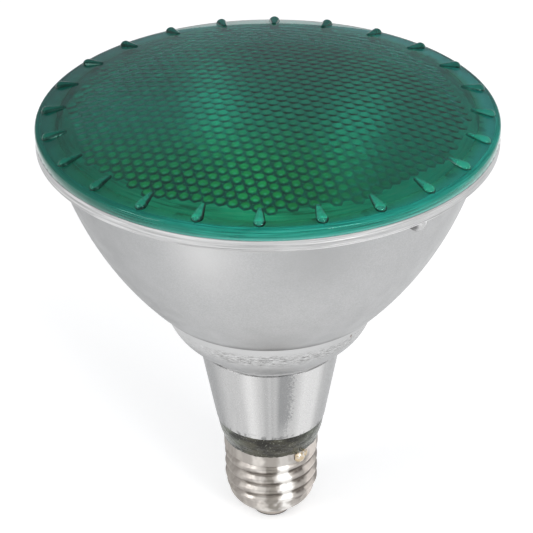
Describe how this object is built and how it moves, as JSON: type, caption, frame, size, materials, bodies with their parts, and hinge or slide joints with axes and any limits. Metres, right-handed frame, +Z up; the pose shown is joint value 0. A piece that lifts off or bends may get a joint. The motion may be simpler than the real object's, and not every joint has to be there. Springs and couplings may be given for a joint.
{
  "type": "par spotlight bulb",
  "caption": "Pressed-glass reflector spotlight bulb with a domed green lens, silvered bowl, aluminium skirt and screw cap.",
  "frame": {"origin": "on the lamp's axis, at the flat of the solder on the centre contact, its lowest point", "axes": "+Z up the lamp's axis towards the lens, -Y towards the picture's front"},
  "size_m": [0.1206, 0.1206, 0.1343],
  "materials": {
    "green_glass": "see-through green pressed glass, smooth outside",
    "silvered_glass": "glass silvered inside, satin silver coat outside",
    "skirt_aluminium": "bright spun aluminium with a mottled sheen",
    "dark_insulator": "dark glossy vitrified insulator",
    "nickelled_shell": "worn nickel plate on rolled brass",
    "solder": "dull bright solder",
    "contact_metal": "tarnished contact metal",
    "cap_glass": "black cap glass",
    "cement": "dry basing cement",
    "ferrule_metal": "dull sealing alloy",
    "post_metal": "nickelled wire",
    "tungsten": "grey tungsten",
    "clear_glass": "clear glass",
    "lead_wire": "bare copper wire"
  },
  "bodies": {
    "root": {"lens": "green_glass", "reflector": "silvered_glass", "skirt": "skirt_aluminium", "insulating_ring": "dark_insulator", "screw_shell": "nickelled_shell", "side_solder": "solder", "tip_solder": "solder", "contact_plate": "contact_metal", "cap_insulator": "cap_glass", "basing_cement": "cement", "left_ferrule": "ferrule_metal", "right_ferrule": "ferrule_metal", "left_post": "post_metal", "right_post": "post_metal", "filament": "tungsten", "exhaust_tube": "clear_glass", "centre_lead": "lead_wire", "side_lead": "lead_wire"}
  },
  "joints": []
}
